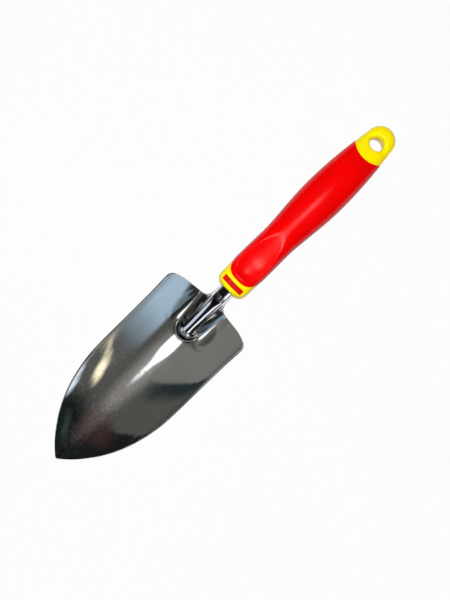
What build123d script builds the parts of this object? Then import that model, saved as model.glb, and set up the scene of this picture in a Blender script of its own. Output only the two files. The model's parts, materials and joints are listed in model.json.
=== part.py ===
from build123d import *
import os
import math
import numpy as np

# Hand trowel: one pressed steel piece (scoop, ribbed pocket, channel neck and tang), a hard
# plastic handle core with a hanging eye, a soft grip with a thumb dish, a cross pin that
# locks the tang, and a label film on the collar.
# Millimetres. The tool lies on a table, open side of the scoop up. +X runs from the blade's
# tip towards the hanging eye, +Z is the table's normal, and "front" means towards the tip.
# The handle is built in its own axes: X = distance along it from the collar's front,
# Z = height above its axis. place() moves it into the tool's frame.

# ---------------------------------------------------------------- driving dimensions
SHEET = 1.6            # steel thickness
SPINE_Z = 1.70         # height of the scoop's floor (upper face) above the table
TROUGH_R = 60.0        # radius of the scoop's cross-section
TROUGH_MAX_Y = 52.0    # the cross-section is level beyond this
TIP_LIFT = 4.0         # rise of the spine, reached TIP_LIFT_REACH ahead of its start
TIP_LIFT_FROM = -85.0  # where the spine starts to rise
TIP_LIFT_REACH = 85.0
TIP_LIFT_POWER = 2.0
TIP_RADIUS = 2.2

PITCH = 5.5            # handle axis falls towards the eye by this angle, degrees
HANDLE_X0 = 5.8        # collar front on the handle axis
HANDLE_Z0 = 23.45
HANDLE_LEN = 172.0
NOSE_FROM = 159.0      # the eye's end closes from here as a rounded nose
STEP = 0.35            # hard plastic sits this much lower than the soft grip
GRIP_WALL = 2.6        # soft grip thickness over the core
DISH_WALL = 1.8        # soft grip thickness under the thumb dish
GRIP_SPAN = (3.0, 168.0)    # soft body along the handle, before its ends are cut
INNER_SPAN = (6.0, 158.0)   # core under the grip, along the handle

EYE_A = 155.3          # hanging hole centre, measured along the handle
EYE_R = 5.5
EYE_ROUND = 3.0        # rounding of the hole's rims
EYE_SEAM_R = 15.8      # the grip ends on a circle of this radius round the hole
EYE_SEAM_A = 154.6     # and this centre

NECK_R = 6.5           # crown radius of the channel neck
NECK_W = 6.2           # half width of the neck and tang
NECK_TOP = 4.4         # crown above the handle axis
EDGE_DIP = 0.5         # the neck's free edges reach this far below the upper face there
TANG_A = 78.0          # tang length inside the handle
SOCKET_CLEAR = 0.10
SOCKET_FLOOR_GAP = 0.05     # further clearance below the tang
SOCKET_END_GAP = 1.5        # clearance beyond the tang's end
SOCKET_LEAD = 8.0           # the socket cutter starts this far ahead of the collar

PIN_R = 2.0            # the locking pin stands through the crown of the tang
PIN_A = 64.0
PIN_Z = 0.4
PIN_LEN = 16.0
PIN_CLEAR = 0.05       # radial, in the steel only
PIN_CHAMFER = 0.3

LABEL_T = 0.25
LABEL_A = 2.6          # front edge of the label at mid width
LABEL_LEN = 4.0
LABEL_R = 70.0         # its front edge is an arc of this radius
LABEL_W = 17.8
LABEL_REACH = 9.0      # the label is trimmed off beyond this distance

CUTTER = 60.0          # cutters run this long, right through the tool

# ---------------------------------------------------------------- measured outlines
# half-outline of the steel (x, half width), tip to heel corner, then in along the heel
RIM = [
    (-174.00, 0.00), (-168.45, 6.71), (-163.80, 11.29), (-159.08, 15.21), (-154.27, 18.72),
    (-149.61, 21.82), (-144.76, 24.62), (-140.03, 27.03), (-135.24, 29.11), (-130.66, 30.93),
    (-126.00, 32.50), (-121.46, 33.82), (-116.93, 34.95), (-112.41, 35.93), (-107.89, 36.75),
    (-103.38, 37.43), (-98.98, 37.93), (-94.47, 38.26), (-85.25, 38.56), (-70.20, 38.66),
    (-50.15, 38.76), (-37.11, 38.86), (-27.92, 39.14), (-19.78, 39.51),
]
CORNER = [RIM[-1], (-16.95, 39.41), (-14.65, 38.61), (-12.94, 37.16), (-11.79, 35.25)]
HEEL = [
    CORNER[-1], (-10.78, 32.59), (-9.98, 29.51), (-9.38, 25.90), (-8.98, 21.77),
    (-8.58, 17.14), (-8.23, 13.84),
]
# the heel's inner corner sweeps into the free edge of the neck
SWEEP = [
    HEEL[-1], (-7.88, 12.00), (-7.43, 10.60), (-6.75, 9.35), (-5.74, 8.25),
    (-4.38, 7.35), (-2.74, 6.75), (-0.73, 6.40), (2.00, 6.24), (5.00, NECK_W),
]

# handle: distance from collar front, half width, half height up, half height down, squareness
HANDLE = [
    (0.0, 6.6, 9.3, 9.3, 2.60), (0.5, 8.2, 9.9, 9.9, 2.62), (1.2, 9.7, 10.4, 10.4, 2.65),
    (2.0, 10.8, 10.8, 10.8, 2.68), (3.0, 11.7, 11.1, 11.1, 2.70), (4.2, 12.35, 11.35, 11.35, 2.72),
    (5.6, 12.75, 11.55, 11.5, 2.74), (7.2, 12.95, 11.7, 11.6, 2.75), (9.2, 13.05, 11.8, 11.7, 2.75),
    (12.0, 13.1, 11.95, 11.8, 2.75), (16.0, 13.17, 12.1, 11.85, 2.75),
    (22.0, 13.24, 12.2, 11.9, 2.73), (30.0, 13.25, 12.2, 11.9, 2.70),
    (38.0, 13.18, 12.05, 11.8, 2.65), (46.0, 13.05, 11.85, 11.7, 2.58),
    (54.0, 13.12, 11.75, 11.75, 2.50), (62.0, 13.65, 11.9, 12.0, 2.42),
    (72.0, 14.52, 12.35, 12.45, 2.34), (82.0, 15.40, 12.8, 12.85, 2.28),
    (92.0, 16.05, 13.1, 13.1, 2.25), (101.0, 16.28, 13.15, 13.15, 2.25),
    (110.0, 16.15, 12.95, 12.75, 2.25), (120.0, 15.77, 12.4, 11.9, 2.26),
    (130.0, 15.08, 11.45, 10.9, 2.28), (138.0, 14.38, 10.4, 10.0, 2.30),
    (144.0, 13.75, 9.45, 9.25, 2.30), (150.0, 13.1, 8.45, 8.35, 2.30),
    (155.0, 12.5, 7.75, 7.7, 2.30), (NOSE_FROM, 11.95, 7.3, 7.3, 2.28),
]

# thumb dish: distance along the handle, height of the dish's floor at mid width
DISH = [
    (6.0, 16.5), (9.0, 14.4), (11.4, 12.35), (13.5, 10.85), (16.5, 9.55), (20.0, 8.72),
    (25.0, 8.2), (30.0, 8.15), (36.0, 8.6), (42.0, 9.4), (48.0, 10.35), (54.0, 11.3),
    (60.0, 12.3), (68.0, 13.7),
]


# ---------------------------------------------------------------- helpers
def cubic(table, column=1, slopes=None):
    """Cubic spline of a column over column 0: natural, or with given end slopes."""
    rows = np.asarray(table, float)
    xs, ys = rows[:, 0], rows[:, column]
    count = len(xs)
    gap = np.diff(xs)
    rise = np.diff(ys) / gap
    matrix = np.zeros((count, count))
    right = np.zeros(count)
    matrix[0, 0] = matrix[-1, -1] = 1.0
    for i in range(1, count - 1):
        matrix[i, i - 1:i + 2] = gap[i - 1], 2 * (gap[i - 1] + gap[i]), gap[i]
        right[i] = 6 * (rise[i] - rise[i - 1])
    if slopes is not None:
        matrix[0, :2] = 2 * gap[0], gap[0]
        matrix[-1, -2:] = gap[-1], 2 * gap[-1]
        right[0] = 6 * (rise[0] - slopes[0])
        right[-1] = 6 * (slopes[1] - rise[-1])
    bend = np.linalg.solve(matrix, right)

    def value(x):
        x = np.clip(np.asarray(x, float), xs[0], xs[-1])
        k = np.clip(np.searchsorted(xs, x) - 1, 0, count - 2)
        past, left, span = x - xs[k], xs[k + 1] - x, gap[k]
        return ((bend[k] * left**3 + bend[k + 1] * past**3) / (6 * span)
                + (ys[k] / span - bend[k] * span / 6) * left
                + (ys[k + 1] / span - bend[k + 1] * span / 6) * past)
    return value


def smooth_step(t):
    t = np.clip(t, 0.0, 1.0)
    return t * t * t * (t * (6 * t - 15) + 10)


def smooth_max(a, b, blend):
    overlap = np.maximum(blend - np.abs(a - b), 0.0) / blend
    return np.maximum(a, b) + overlap * overlap * blend / 4


def largest(shape):
    """The biggest solid of a result."""
    return max(shape.solids(), key=lambda solid: solid.volume)


def slab(curve, corners, half_width):
    """Prism across the tool: a curve in the XZ plane closed through corner points."""
    points = [curve @ 1, *corners, curve @ 0]
    lines = [Edge.make_line(p, q) for p, q in zip(points, points[1:])]
    face = Face(Wire([curve] + lines))
    return extrude(Pos(0, half_width, 0) * face, 2 * half_width, dir=(0, -1, 0))


def place(shape):
    """From the handle's own axes to the tool's frame."""
    return Pos(HANDLE_X0, 0, HANDLE_Z0) * Rot(0, PITCH, 0) * shape


def pin_cylinder(radius, length):
    return Pos(PIN_A, 0, PIN_Z) * Cylinder(radius, length)


# ---------------------------------------------------------------- the steel's pressed surface
PITCH_TAN = math.tan(math.radians(PITCH))
PITCH_COS = math.cos(math.radians(PITCH))
NECK_Z = HANDLE_Z0 + NECK_TOP / PITCH_COS      # crown height where the neck enters the collar
TANG_END_X = HANDLE_X0 + TANG_A * PITCH_COS
NECK_FROM = 1.0        # from here on the crown runs along the handle axis

RIB_END = -36.8        # centre of the rib's rounded front end
CROWN_FROM = -44.0     # the crown is level ahead of this
RIB_FILLET = 3.8       # blend between rib and scoop

DIMPLE_X = -23.0       # shallow hollows either side of the rib: centre,
DIMPLE_Y = 14.2
DIMPLE_RX = 22.0       # reach along and across,
DIMPLE_RY = 7.4
DIMPLE_DEEP = 0.62     # and depth


def neck_line(x):
    """Crown height once the neck runs along the handle axis."""
    return NECK_Z - (x - HANDLE_X0) * PITCH_TAN


# crown of the rib (x, height), from its front end up the S-bend to the neck
CROWN = [
    (-60.0, 0.3), (-48.0, 2.8), (-42.0, 4.8), (-38.0, 6.7), (-34.0, 9.1), (-30.0, 11.7),
    (-26.0, 14.3), (-21.0, 17.5), (-16.0, 20.7), (-11.0, 23.8), (-7.0, 26.1), (-3.0, 27.75),
    (NECK_FROM, neck_line(NECK_FROM)),
]
# slope of the rib's flanks (x, rise over run)
FLANK = [
    (-48.0, 1.1), (-38.0, 1.15), (-34.0, 1.3), (-30.0, 1.6), (-25.0, 2.0), (-19.0, 2.45),
    (-14.0, 2.7), (-9.3, 2.85), (0.0, 3.35), (6.0, 3.7), (14.0, 3.8),
]
# radius across the rib's crown (x, radius)
CROWN_RADIUS = [
    (-48.0, 5.8), (-38.0, 5.9), (-30.0, 6.0), (-20.0, 6.2), (-9.3, 6.4), (0.0, NECK_R),
    (14.0, NECK_R),
]
bend_crown = cubic(CROWN, slopes=(0.2, -PITCH_TAN))
flank_slope = cubic(FLANK)
crown_radius = cubic(CROWN_RADIUS)


def scoop_top(x, y):
    """Upper face of the plain scoop."""
    ahead = np.maximum(0.0, TIP_LIFT_FROM - x) / TIP_LIFT_REACH
    spine = SPINE_Z + TIP_LIFT * ahead**TIP_LIFT_POWER
    y = np.clip(np.abs(y), 0, TROUGH_MAX_Y)
    return spine + TROUGH_R - np.sqrt(TROUGH_R**2 - y * y)


def dimple_depth(x, y):
    reach = np.hypot((x - DIMPLE_X) / DIMPLE_RX, (np.abs(y) - DIMPLE_Y) / DIMPLE_RY)
    return DIMPLE_DEEP * smooth_step(1 - reach)


def rib_top(x, y):
    """Round crown with straight flanks, closed at the front by a round end."""
    slope, radius = flank_slope(x), crown_radius(x)
    angle = np.arctan(slope)
    off = np.hypot(np.minimum(x - RIB_END, 0.0), y)
    round_to = radius * np.sin(angle)
    round_drop = radius - np.sqrt(np.maximum(radius**2 - np.minimum(off, round_to) ** 2, 0))
    flank_drop = radius * (1 - np.cos(angle)) + (off - round_to) * slope
    crown = np.where(x > NECK_FROM, neck_line(x), bend_crown(np.maximum(x, CROWN_FROM)))
    return crown - np.where(off < round_to, round_drop, flank_drop)


def sheet_top(x, y):
    """Upper face of the steel sheet as a height over (x, y)."""
    x, y = np.broadcast_arrays(np.asarray(x, float), np.asarray(y, float))
    return smooth_max(rib_top(x, y), scoop_top(x, y) - dimple_depth(x, y), RIB_FILLET)


def sheet_bottom(x, y):
    """Lower face: the true offset of the upper one, by sweeping a ball of radius SHEET."""
    lowest = sheet_top(x, y) - SHEET
    for tilt in np.radians(np.linspace(3.75, 90.0, 24)):
        out, down = SHEET * math.sin(tilt), SHEET * math.cos(tilt)
        for turn in np.radians(np.linspace(0, 352.5, 48)):
            moved = sheet_top(x + out * math.cos(turn), y + out * math.sin(turn))
            lowest = np.minimum(lowest, moved - down)
    return lowest


# ---------------------------------------------------------------- blade
# sampling of the sheet across (one half) and along, closest over the rib and its front end
HALF_YS = [
    0, 0.6, 1.2, 1.8, 2.4, 3.0, 3.6, 4.2, 4.8, 5.3, 5.8, 6.3, 6.8, 7.4, 8.0, 8.6, 9.2, 9.8,
    10.3, 10.8, 11.3, 11.8, 12.4, 13.0, 13.7, 14.5, 15.5, 16.5, 17.5, 18.6, 20.0, 22.0, 24.5,
    27.5, 30.5, 33.5, 36.5, 39.0, 41.0,
]
SHEET_XS = np.concatenate([
    np.linspace(-176, -100, 14), np.linspace(-94, -58, 7), np.arange(-54, -49, 2.0),
    np.arange(-48.5, -25, 1.25), np.arange(-24, 6.1, 2.0), [9, 14, 22, 34, 50, 68, 86],
])


def make_sheet():
    """Untrimmed sheet, lofted through cross-sections along the tool."""
    ys = np.array([-y for y in HALF_YS[:0:-1]] + HALF_YS)
    knots = list((ys - ys[0]) / (ys[-1] - ys[0]))
    grid_x, grid_y = np.meshgrid(SHEET_XS, ys, indexing="ij")
    wires = []
    for x, tops, bottoms in zip(SHEET_XS, sheet_top(grid_x, grid_y), sheet_bottom(grid_x, grid_y)):
        top = [Vector(float(x), float(y), float(z)) for y, z in zip(ys, tops)]
        bottom = [Vector(float(x), float(y), float(z)) for y, z in zip(ys, bottoms)][::-1]
        wires.append(Wire([
            Edge.make_spline(top, parameters=knots),
            Edge.make_line(top[-1], bottom[0]),
            Edge.make_spline(bottom, parameters=knots),
            Edge.make_line(bottom[-1], top[0]),
        ]))
    return Solid.make_loft(wires)


def plan_spline(points, tangents=None):
    return Edge.make_spline([Vector(x, y, 0) for x, y in points], tangents=tangents)


def blade_outline():
    """Prism of the sheet's outline seen from above: scoop, heel, swept corner, neck and tang."""
    to_heel, to_sweep, to_neck = Vector(0.36, -0.93, 0), Vector(0.13, -1, 0), Vector(1, 0, 0)
    rim = plan_spline(RIM)
    corner = plan_spline(CORNER, [rim % 1, to_heel])
    heel = plan_spline(HEEL, [to_heel, to_sweep])
    sweep = plan_spline(SWEEP, [to_sweep, to_neck])
    side = Edge.make_line(sweep @ 1, Vector(TANG_END_X, NECK_W, 0))
    half = [rim, corner, heel, sweep, side]
    mirrored = [edge.mirror(Plane.XZ) for edge in half]
    tang_end = Edge.make_line(side @ 1, mirrored[-1] @ 1)
    face = Face(Wire(half + [tang_end] + mirrored))
    tip = min(face.vertices(), key=lambda vertex: vertex.X)
    face = face.fillet_2d(TIP_RADIUS, [tip])
    return extrude(Pos(0, 0, -20) * face, 80, dir=(0, 0, 1))


def under_neck():
    """What lies below the free lower edges of the neck and the tang."""
    front_x, floor_z, half_width = -9.0, -20, 16
    back_x = TANG_END_X + 5
    # the cut starts deeper, at the heel's inner corner
    dips = [2.4, 1.2] + [EDGE_DIP] * (len(SWEEP) - 2)
    points = [Vector(x, 0, float(sheet_top(x, y)) - dip) for (x, y), dip in zip(SWEEP, dips)]
    edge = Edge.make_spline(points, tangents=[Vector(0.2, 0, 1), Vector(1, 0, -PITCH_TAN)])
    start, end = edge @ 0, edge @ 1
    corners = [
        Vector(back_x, 0, end.Z - (back_x - end.X) * PITCH_TAN),
        Vector(back_x, 0, floor_z),
        Vector(front_x, 0, floor_z),
        Vector(front_x, 0, start.Z - 0.6),
    ]
    return slab(edge, corners, half_width)


def make_blade():
    blade = largest((make_sheet() & blade_outline()) - under_neck())
    return largest(blade - place(pin_cylinder(PIN_R + PIN_CLEAR, CUTTER)))


# ---------------------------------------------------------------- handle body
HALF_SPANS = 18        # spline spans in each half of a handle section
MIN_HALF = 0.8         # sections with a smaller half size than this are left out
NOSE_ANGLES = [14, 28, 41, 53, 63, 71, 77.5, 82.5, 86]
NOSE_LEN = HANDLE_LEN - NOSE_FROM
STATIONS = [row[0] for row in HANDLE] \
    + [NOSE_FROM + NOSE_LEN * math.sin(angle) for angle in np.radians(NOSE_ANGLES)]
handle_columns = [cubic(HANDLE, column) for column in (1, 2, 3, 4)]


def handle_size(along, inset):
    """Half width, half heights up and down, and squareness of the section."""
    # beyond the table each column holds its last value, and the nose tapers it
    width, up, down, square = [float(column(along)) for column in handle_columns]
    nose = max(0.0, (along - NOSE_FROM) / NOSE_LEN)
    narrow = (1 - nose**2.25) ** 0.5 * (1 - 0.02 * nose)
    flatten = (1 - nose**4.2) ** 0.5 * (1 - 0.06 * nose)
    return (width * narrow - inset, up * flatten - inset, down * flatten - inset,
            square - 0.18 * nose)


def section(along, width, up, down, square):
    """Closed superellipse wire through evenly spaced points, upper half then lower."""
    angles = np.linspace(0, math.pi, 1441)
    cos, sin = np.cos(angles), np.sin(angles)
    halves = []
    for height, side in ((up, 1), (-down, -1)):
        y = width * side * np.sign(cos) * np.abs(cos) ** (2 / square)
        z = height * np.abs(sin) ** (2 / square)
        length = np.concatenate([[0], np.cumsum(np.hypot(np.diff(y), np.diff(z)))])
        even = np.linspace(0, length[-1], HALF_SPANS + 1)
        ys, zs = np.interp(even, length, y), np.interp(even, length, z)
        zs[0] = zs[-1] = 0.0
        halves.append(Edge.make_spline(
            [Vector(along, float(p), float(q)) for p, q in zip(ys, zs)],
            tangents=[Vector(0, 0, side), Vector(0, 0, -side)],
            parameters=[i / HALF_SPANS for i in range(HALF_SPANS + 1)]))
    return Wire(halves)


def handle_body(inset, start=0.0, end=HANDLE_LEN):
    """The handle's outer shape, shrunk by inset, between two distances along it."""
    stations = [start] + [along for along in STATIONS if start < along < end]
    if end < HANDLE_LEN:
        stations.append(end)
    wires = []
    for along in stations:
        size = handle_size(along, inset)
        if min(size[:2]) > MIN_HALF:
            wires.append(section(along, *size))
    return Solid.make_loft(wires)


# ---------------------------------------------------------------- handle regions and cutters
def grip_front(height):
    """Where the grip starts: slanted, curving back below the axis, steep below the knee."""
    knee = -14
    above = max(height, knee)
    return 26.2 - 1.45 * above - 0.067 * min(above, 0) ** 2 + 0.426 * max(knee - height, 0)


def front_region():
    """Everything ahead of the grip's slanted front edge."""
    reach, front_x = 22, -20
    heights = np.linspace(reach, -reach, 23).tolist()
    cut = Edge.make_spline([Vector(grip_front(height), 0, height) for height in heights])
    return slab(cut, [Vector(front_x, 0, -reach), Vector(front_x, 0, reach)], CUTTER / 2)


def rear_region():
    """Everything on the eye's side of the grip's round rear seam."""
    disc = Pos(EYE_SEAM_A, 0, 0) * Cylinder(EYE_SEAM_R, CUTTER)
    block = Pos(EYE_A + CUTTER / 2, 0, 0) * Box(CUTTER, 2 * EYE_SEAM_R + 12, CUTTER)
    return disc + block


def dish_tool():
    """Cutter above the thumb dish's floor, which rises as a parabola to either side."""
    floor = cubic(DISH)
    rows = [[Vector(along, y, float(floor(along)) + 0.0125 * y**2)
             for y in np.linspace(-16, 16, 17).tolist()]
            for along in np.linspace(7, 67, 31).tolist()]
    face = Face.make_surface_from_array_of_points(rows, tol=0.005)
    return extrude(face, 14, dir=(0, 0, 1))


def socket():
    """Slot for the tang: the channel's outer shape plus clearance, filled."""
    radius = NECK_R + SOCKET_CLEAR
    centre_z = NECK_TOP - NECK_R
    half = NECK_W + SOCKET_CLEAR
    arc_z = centre_z + math.sqrt(radius**2 - half**2)
    tang_edge_z = centre_z + math.sqrt(NECK_R**2 - NECK_W**2) - EDGE_DIP
    floor_z = tang_edge_z - SOCKET_CLEAR - SOCKET_FLOOR_GAP
    profile = [(half, floor_z), (half, arc_z), (0, centre_z + radius), (-half, arc_z),
               (-half, floor_z)]
    low, shoulder, crown, far_shoulder, far_low = [Vector(-SOCKET_LEAD, y, z) for y, z in profile]
    outline = Wire([
        Edge.make_line(low, shoulder),
        Edge.make_three_point_arc(shoulder, crown, far_shoulder),
        Edge.make_line(far_shoulder, far_low),
        Edge.make_line(far_low, low),
    ])
    return extrude(Face(outline), TANG_A + SOCKET_LEAD + SOCKET_END_GAP, dir=(1, 0, 0))


def on_eye(edge):
    """True for an edge that runs round the hanging hole's rim."""
    points = [edge @ t for t in (0.0, 0.25, 0.5, 0.75, 1.0)]
    if any(abs(math.hypot(p.X - EYE_A, p.Y) - EYE_R) > 0.02 for p in points):
        return False
    heights = [p.Z for p in points]
    around = max(heights) - min(heights) < 3.0 and (points[1] - points[0]).length > 0.3
    return around and abs(heights[2]) > 2.0


# ---------------------------------------------------------------- handle pieces
def make_inner():
    """The part of the core that the grip covers."""
    dish = Pos(0, 0, -DISH_WALL) * dish_tool()
    return largest(handle_body(GRIP_WALL, *INNER_SPAN) - dish)


def make_label(hard):
    """Curved film let into the collar's top."""
    ring = Pos(LABEL_A + LABEL_R, 0, 0) * (
        Cylinder(LABEL_R, CUTTER) - Cylinder(LABEL_R - LABEL_LEN, CUTTER))
    band = ring & (Pos(LABEL_REACH / 2, 0, 15) * Box(LABEL_REACH, LABEL_W, 30))
    return largest((hard & band) - handle_body(STEP + LABEL_T, 0.3, 20.0))


def round_eye(core):
    rims = [edge for edge in core.edges() if on_eye(edge)]
    # the full rounding may be too big for the kernel, so smaller ones stand by
    for less in (0, 0.3, 0.6, 1.0):
        try:
            return largest(core.fillet(EYE_ROUND - less, rims))
        except Exception:
            continue
    return core


def make_core(hard, inner, front, rear, label):
    core = (hard & front) + inner + (hard & rear)
    core = largest(core - socket())
    core = largest(core - Pos(EYE_A, 0, 0) * Cylinder(EYE_R, CUTTER))
    core = round_eye(core)
    core = largest(core - pin_cylinder(PIN_R, PIN_LEN))
    return largest(core - label)


def make_grip(inner, front, rear):
    return largest(handle_body(0.0, *GRIP_SPAN) - front - rear - inner - dish_tool())


def make_pin():
    return chamfer(pin_cylinder(PIN_R, PIN_LEN).edges(), PIN_CHAMFER)


def main():
    os.makedirs("parts", exist_ok=True)
    hard = handle_body(STEP)
    inner, front, rear = make_inner(), front_region(), rear_region()
    label = make_label(hard)
    parts = {
        "blade": make_blade(),
        "handle_core": place(make_core(hard, inner, front, rear, label)),
        "grip": place(make_grip(inner, front, rear)),
        "tang_pin": place(make_pin()),
        "collar_label": place(label),
    }
    # X = 0 goes to the middle of the tool's length
    boxes = [part.bounding_box() for part in parts.values()]
    middle = round((min(box.min.X for box in boxes) + max(box.max.X for box in boxes)) / 2, 2)
    for name, part in parts.items():
        export_step(Pos(-middle, 0, 0) * part, f"parts/{name}.step")


main()
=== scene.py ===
# A hand scoop: a pressed, plated steel blade whose ribbed neck runs back into a handle with a
# yellow core, a soft red cover and an eye at its end.
# The tool lies along x with its tip towards -x and its hollow side up; the handle runs towards
# +x and falls as it goes. Shapes are worked out in mm in "tool axes", then shifted along x and
# scaled to metres. Handle shapes use a, y, c: along the handle, sideways, square to it upwards.
import bpy
import json
import math
import numpy as np
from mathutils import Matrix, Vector


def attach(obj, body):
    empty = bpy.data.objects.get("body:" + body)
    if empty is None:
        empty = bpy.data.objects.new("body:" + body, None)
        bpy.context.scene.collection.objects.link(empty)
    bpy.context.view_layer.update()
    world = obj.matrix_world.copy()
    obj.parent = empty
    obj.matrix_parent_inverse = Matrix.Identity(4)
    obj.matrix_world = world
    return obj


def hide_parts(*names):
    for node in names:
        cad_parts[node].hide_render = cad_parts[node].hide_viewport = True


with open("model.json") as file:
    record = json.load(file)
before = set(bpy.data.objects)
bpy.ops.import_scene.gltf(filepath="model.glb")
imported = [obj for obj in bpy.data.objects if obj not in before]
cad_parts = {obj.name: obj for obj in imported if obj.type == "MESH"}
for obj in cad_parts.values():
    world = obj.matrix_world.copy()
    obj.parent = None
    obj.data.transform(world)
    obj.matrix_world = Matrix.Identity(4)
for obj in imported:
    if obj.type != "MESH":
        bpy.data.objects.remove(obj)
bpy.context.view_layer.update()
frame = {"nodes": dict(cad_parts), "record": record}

# ------------------------------------------------------------------ sizes (mm, tool axes)
SHEET = 1.6                 # steel thickness
EDGE_BULGE = 0.32           # how far the sheet's edge rounds outwards
EDGE_ANGLES = [25, 55, 90, 125, 155]    # rings round that edge, degrees from the upper face

SPINE_Z = 1.70              # upper face on the centre line
TROUGH_RADIUS = 60.0
TROUGH_MAX_Y = 52.0
TIP_LIFT = 4.0              # the spine's rise one reach past its start, and how it grows
TIP_LIFT_FROM = -85.0
TIP_LIFT_REACH = 85.0
TIP_LIFT_POWER = 2.0
TIP_RADIUS = 2.2            # plan radius at the tip

PITCH = math.radians(5.5)   # fall of the handle
PITCH_COS, PITCH_SIN, PITCH_TAN = math.cos(PITCH), math.sin(PITCH), math.tan(PITCH)
HANDLE_X0 = 5.8             # front end of the handle's axis
HANDLE_Z0 = 23.45
EYE_A = 155.3               # eye's centre along the handle
NECK_TOP = 4.4              # neck's crown above the handle's axis
NECK_HALF_WIDTH = 6.2
NECK_FROM = 1.0             # x where the crown becomes straight
TANG_A = 78.0               # tang's end along the handle

GRIP_WALL = 2.6
SEAT_WALL = 1.8             # cover's thickness under the dished face
GRIP_POINTS = 176           # points round a section
GRIP_ROWS = 210
GRIP_SPAN = (3, 158)        # stretch of handle that is tabulated, and its step
GRIP_STEP = 0.5
GRIP_LIP = 0.30             # rounding of the cover's two ends
GRIP_FOLD = 0.7             # how far the ends turn in below the rounding
INNER_SETBACK = 0.3         # the inside stops this far short of the outside
EYE_SEAM_A = 154.6          # arc that ends the cover before the eye
EYE_SEAM_RADIUS = 15.8
EYE_SEAM_MAX_Y = 15.7

# the row frame's origin is the box's bottom centre: the eye's place gives the shift
EYE_MOUNT = frame["record"]["mounts"][0]
X_SHIFT = HANDLE_X0 + EYE_A * PITCH_COS - EYE_MOUNT["pos_m"][0] * 1000.0

# Half outline of the blade, (x, y), from the tip to the heel's inner end.
RIM = [
    (-174.00, 0.00), (-168.45, 6.71), (-163.80, 11.29), (-159.08, 15.21), (-154.27, 18.72),
    (-149.61, 21.82), (-144.76, 24.62), (-140.03, 27.03), (-135.24, 29.11), (-130.66, 30.93),
    (-126.00, 32.50), (-121.46, 33.82), (-116.93, 34.95), (-112.41, 35.93), (-107.89, 36.75),
    (-103.38, 37.43), (-98.98, 37.93), (-94.47, 38.26), (-85.25, 38.56), (-70.20, 38.66),
    (-50.15, 38.76), (-37.11, 38.86), (-27.92, 39.14), (-19.78, 39.51),
]
CORNER = [(-16.95, 39.41), (-14.65, 38.61), (-12.94, 37.16), (-11.79, 35.25)]
HEEL = [(-10.78, 32.59), (-9.98, 29.51), (-9.38, 25.90), (-8.98, 21.77), (-8.58, 17.14),
        (-8.23, 13.84)]
HEEL_X, HEEL_Y = HEEL[-1]
# Half outline from the heel's inner end to the side of the neck, (x, y).
SWEEP = [HEEL[-1], (-7.88, 12.00), (-7.43, 10.60), (-6.75, 9.35), (-5.74, 8.25), (-4.38, 7.35),
         (-2.74, 6.75), (-0.73, 6.40), (2.00, 6.24), (5.00, NECK_HALF_WIDTH)]
SWEEP_SLOPES_X = (0.13, 1.0)    # dx and dy per mm of run, at the start and at the end
SWEEP_SLOPES_Y = (-1.0, 0.0)
CORNER_SPLIT = (-16.0, 38.2)    # rim and heel part at the outline point nearest this

# Columns: distance along the handle, half width, height above the axis, depth below it,
# exponent of the section's superellipse.
HANDLE = [
    (0.0, 6.6, 9.3, 9.3, 2.60), (0.5, 8.2, 9.9, 9.9, 2.62), (1.2, 9.7, 10.4, 10.4, 2.65),
    (2.0, 10.8, 10.8, 10.8, 2.68), (3.0, 11.7, 11.1, 11.1, 2.70),
    (4.2, 12.35, 11.35, 11.35, 2.72), (5.6, 12.75, 11.55, 11.5, 2.74),
    (7.2, 12.95, 11.7, 11.6, 2.75), (9.2, 13.05, 11.8, 11.7, 2.75),
    (12.0, 13.1, 11.95, 11.8, 2.75), (16.0, 13.17, 12.1, 11.85, 2.75),
    (22.0, 13.24, 12.2, 11.9, 2.73), (30.0, 13.25, 12.2, 11.9, 2.70),
    (38.0, 13.18, 12.05, 11.8, 2.65), (46.0, 13.05, 11.85, 11.7, 2.58),
    (54.0, 13.12, 11.75, 11.75, 2.50), (62.0, 13.65, 11.9, 12.0, 2.42),
    (72.0, 14.52, 12.35, 12.45, 2.34), (82.0, 15.40, 12.8, 12.85, 2.28),
    (92.0, 16.05, 13.1, 13.1, 2.25), (101.0, 16.28, 13.15, 13.15, 2.25),
    (110.0, 16.15, 12.95, 12.75, 2.25), (120.0, 15.77, 12.4, 11.9, 2.26),
    (130.0, 15.08, 11.45, 10.9, 2.28), (138.0, 14.38, 10.4, 10.0, 2.30),
    (144.0, 13.75, 9.45, 9.25, 2.30), (150.0, 13.1, 8.45, 8.35, 2.30),
    (155.0, 12.5, 7.75, 7.7, 2.30), (159.0, 11.95, 7.3, 7.3, 2.28),
]
# Dished upper face of the cover: distance along the handle, height on its centre line.
DISH = [(6.0, 16.5), (9.0, 14.4), (11.4, 12.35), (13.5, 10.85), (16.5, 9.55), (20.0, 8.72),
        (25.0, 8.2), (30.0, 8.15), (36.0, 8.6), (42.0, 9.4), (48.0, 10.35), (54.0, 11.3),
        (60.0, 12.3), (68.0, 13.7)]
DISH_CURL = 0.0125          # rise of the dish per mm of y squared


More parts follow.
